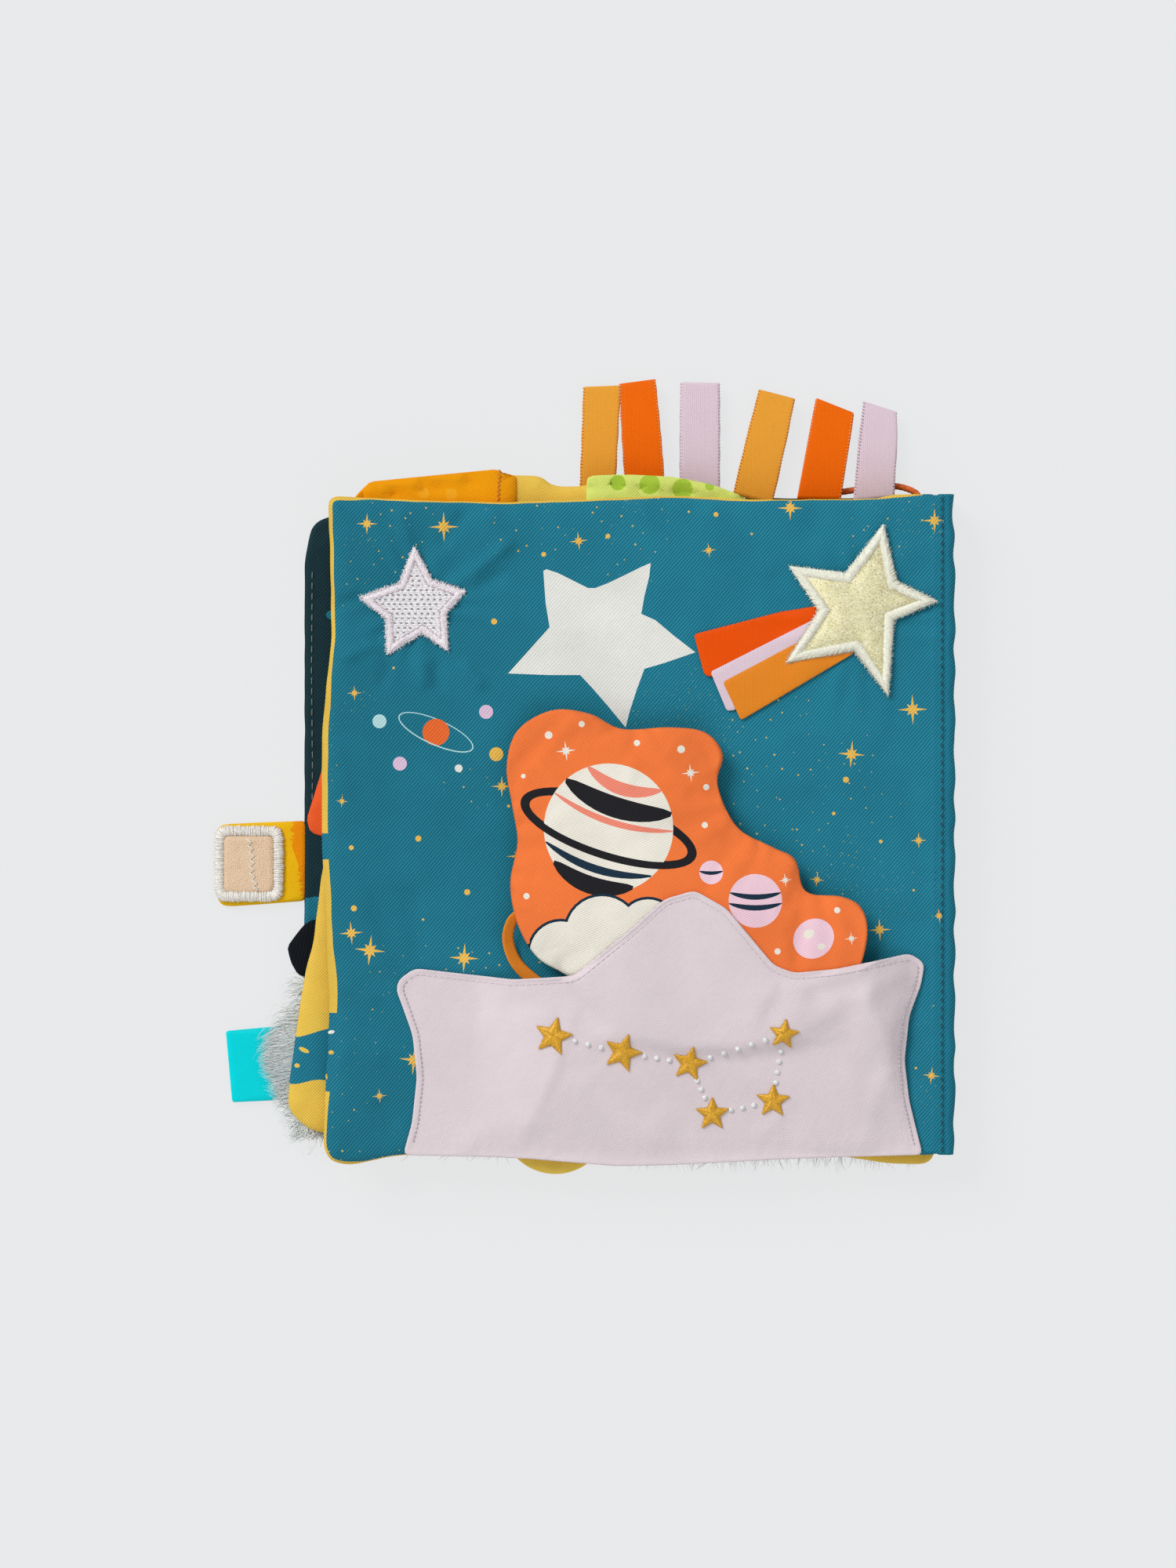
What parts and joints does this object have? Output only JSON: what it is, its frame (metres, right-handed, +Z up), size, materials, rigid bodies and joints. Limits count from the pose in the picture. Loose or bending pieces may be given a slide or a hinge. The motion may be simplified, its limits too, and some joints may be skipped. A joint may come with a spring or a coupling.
{
  "type": "crinkle cloth book",
  "caption": "Square padded cloth baby book lying closed, with a pocketed padded toy, star patches, ribbon loops, a closing tab and crackling leaves.",
  "frame": {"origin": "on the back leaf's outer face, under the middle of the front leaf, on the surface the book lies on", "axes": "+Z up out of the closed book's front, +Y towards the ribbon loops at its top edge, +X towards the spine"},
  "size_m": [0.2364, 0.2542, 0.032],
  "materials": {
    "teal_cotton": "matte twill",
    "yellow_cotton": "matte plain weave",
    "dark_cotton": "matte twill",
    "lilac_cotton": "matte twill",
    "wadding": "soft matte",
    "crinkle_film": "thin crackling film",
    "plush_fur": "long pile",
    "orange_cotton": "matte twill",
    "lime_cotton": "matte plain weave",
    "amber_cotton": "matte plain weave",
    "black_felt": "felt",
    "coral_cotton": "matte plain weave",
    "satin_tan": "satin ribbon",
    "satin_orange": "satin ribbon",
    "satin_lilac": "satin ribbon",
    "lilac_thread": "satin-stitch embroidery",
    "gold_lame": "metallic woven cloth",
    "cream_thread": "satin-stitch embroidery",
    "gold_thread": "satin-stitch embroidery",
    "hook_tape": "hook tape",
    "white_thread": "zigzag embroidery",
    "label_satin": "satin label",
    "cord_braid": "braided cord"
  },
  "bodies": {
    "back_leaf": {"back_leaf_face": "dark_cotton", "back_leaf_backing": "teal_cotton", "back_leaf_wadding": "wadding", "back_crinkle_film": "crinkle_film", "spine_binding": "teal_cotton", "fur_panel": "plush_fur", "coral_applique": "coral_cotton", "black_felt_tab": "black_felt", "cord_loop": "cord_braid"},
    "middle_leaf": {"middle_leaf_face": "yellow_cotton", "middle_leaf_backing": "yellow_cotton", "middle_leaf_wadding": "wadding", "middle_crinkle_film": "crinkle_film", "orange_pocket": "amber_cotton", "green_hill": "lime_cotton", "yellow_moon": "yellow_cotton"},
    "front_leaf": {"front_leaf_face": "teal_cotton", "front_leaf_backing": "yellow_cotton", "front_leaf_wadding": "wadding", "front_crinkle_film": "crinkle_film", "lilac_star_patch": "lilac_thread", "gold_star_patch": "gold_lame", "gold_star_border": "cream_thread", "star_tail_orange": "satin_orange", "star_tail_lilac": "satin_lilac", "star_tail_tan": "satin_tan", "pocket_panel": "lilac_cotton", "dipper_star_1": "gold_thread", "dipper_star_2": "gold_thread", "dipper_star_3": "gold_thread", "dipper_star_4": "gold_thread", "dipper_star_5": "gold_thread", "dipper_star_6": "gold_thread", "tether_ribbon": "satin_tan"},
    "toy": {"toy_front": "orange_cotton", "toy_back": "orange_cotton", "toy_filling": "wadding"},
    "closing_tab": {"closure_tab": "yellow_cotton", "hook_patch": "hook_tape", "hook_patch_frame": "white_thread"},
    "label": {"side_label": "label_satin"},
    "ribbon_1": {"ribbon_loop_1": "satin_tan"},
    "ribbon_2": {"ribbon_loop_2": "satin_orange"},
    "ribbon_3": {"ribbon_loop_3": "satin_lilac"},
    "ribbon_4": {"ribbon_loop_4": "satin_tan"},
    "ribbon_5": {"ribbon_loop_5": "satin_orange"},
    "ribbon_6": {"ribbon_loop_6": "satin_lilac"}
  },
  "joints": [
    {"name": "middle_leaf_turn", "type": "hinge", "parent": "back_leaf", "child": "middle_leaf", "pos_m": [0.1, 0, 0.0164], "axis": [0, 1, 0], "range_deg": [0, 180]},
    {"name": "front_leaf_turn", "type": "hinge", "parent": "middle_leaf", "child": "front_leaf", "pos_m": [0.1, 0, 0.0164], "axis": [0, 1, 0], "range_deg": [0, 180]},
    {"name": "toy_slide", "type": "slide", "parent": "front_leaf", "child": "toy", "axis": [0, 1, 0], "range_m": [0, 0.055], "deforming": ["tether_ribbon"]},
    {"name": "closing_tab_fold", "type": "hinge", "parent": "back_leaf", "child": "closing_tab", "pos_m": [-0.1069, -0.01157, 0.0024], "axis": [0, 1, 0], "range_deg": [0, 95]},
    {"name": "label_fold", "type": "hinge", "parent": "back_leaf", "child": "label", "pos_m": [-0.1063, -0.0768, 0.0024], "axis": [0, 1, 0], "range_deg": [0, 45]},
    {"name": "ribbon_1_lift", "type": "hinge", "parent": "back_leaf", "child": "ribbon_1", "pos_m": [-0.01262, 0.1069, 0.00385], "axis": [1, 0, 0], "range_deg": [0, 35]},
    {"name": "ribbon_2_lift", "type": "hinge", "parent": "back_leaf", "child": "ribbon_2", "pos_m": [0.00382, 0.1069, 0.00385], "axis": [1, 0, 0], "range_deg": [0, 35]},
    {"name": "ribbon_3_lift", "type": "hinge", "parent": "back_leaf", "child": "ribbon_3", "pos_m": [0.02108, 0.1069, 0.00385], "axis": [1, 0, 0], "range_deg": [0, 35]},
    {"name": "ribbon_4_lift", "type": "hinge", "parent": "back_leaf", "child": "ribbon_4", "pos_m": [0.03854, 0.1069, 0.00385], "axis": [1, 0, 0], "range_deg": [0, 35]},
    {"name": "ribbon_5_lift", "type": "hinge", "parent": "back_leaf", "child": "ribbon_5", "pos_m": [0.05904, 0.1069, 0.00385], "axis": [1, 0, 0], "range_deg": [0, 35]},
    {"name": "ribbon_6_lift", "type": "hinge", "parent": "back_leaf", "child": "ribbon_6", "pos_m": [0.0767, 0.1069, 0.00385], "axis": [1, 0, 0], "range_deg": [0, 35]}
  ]
}
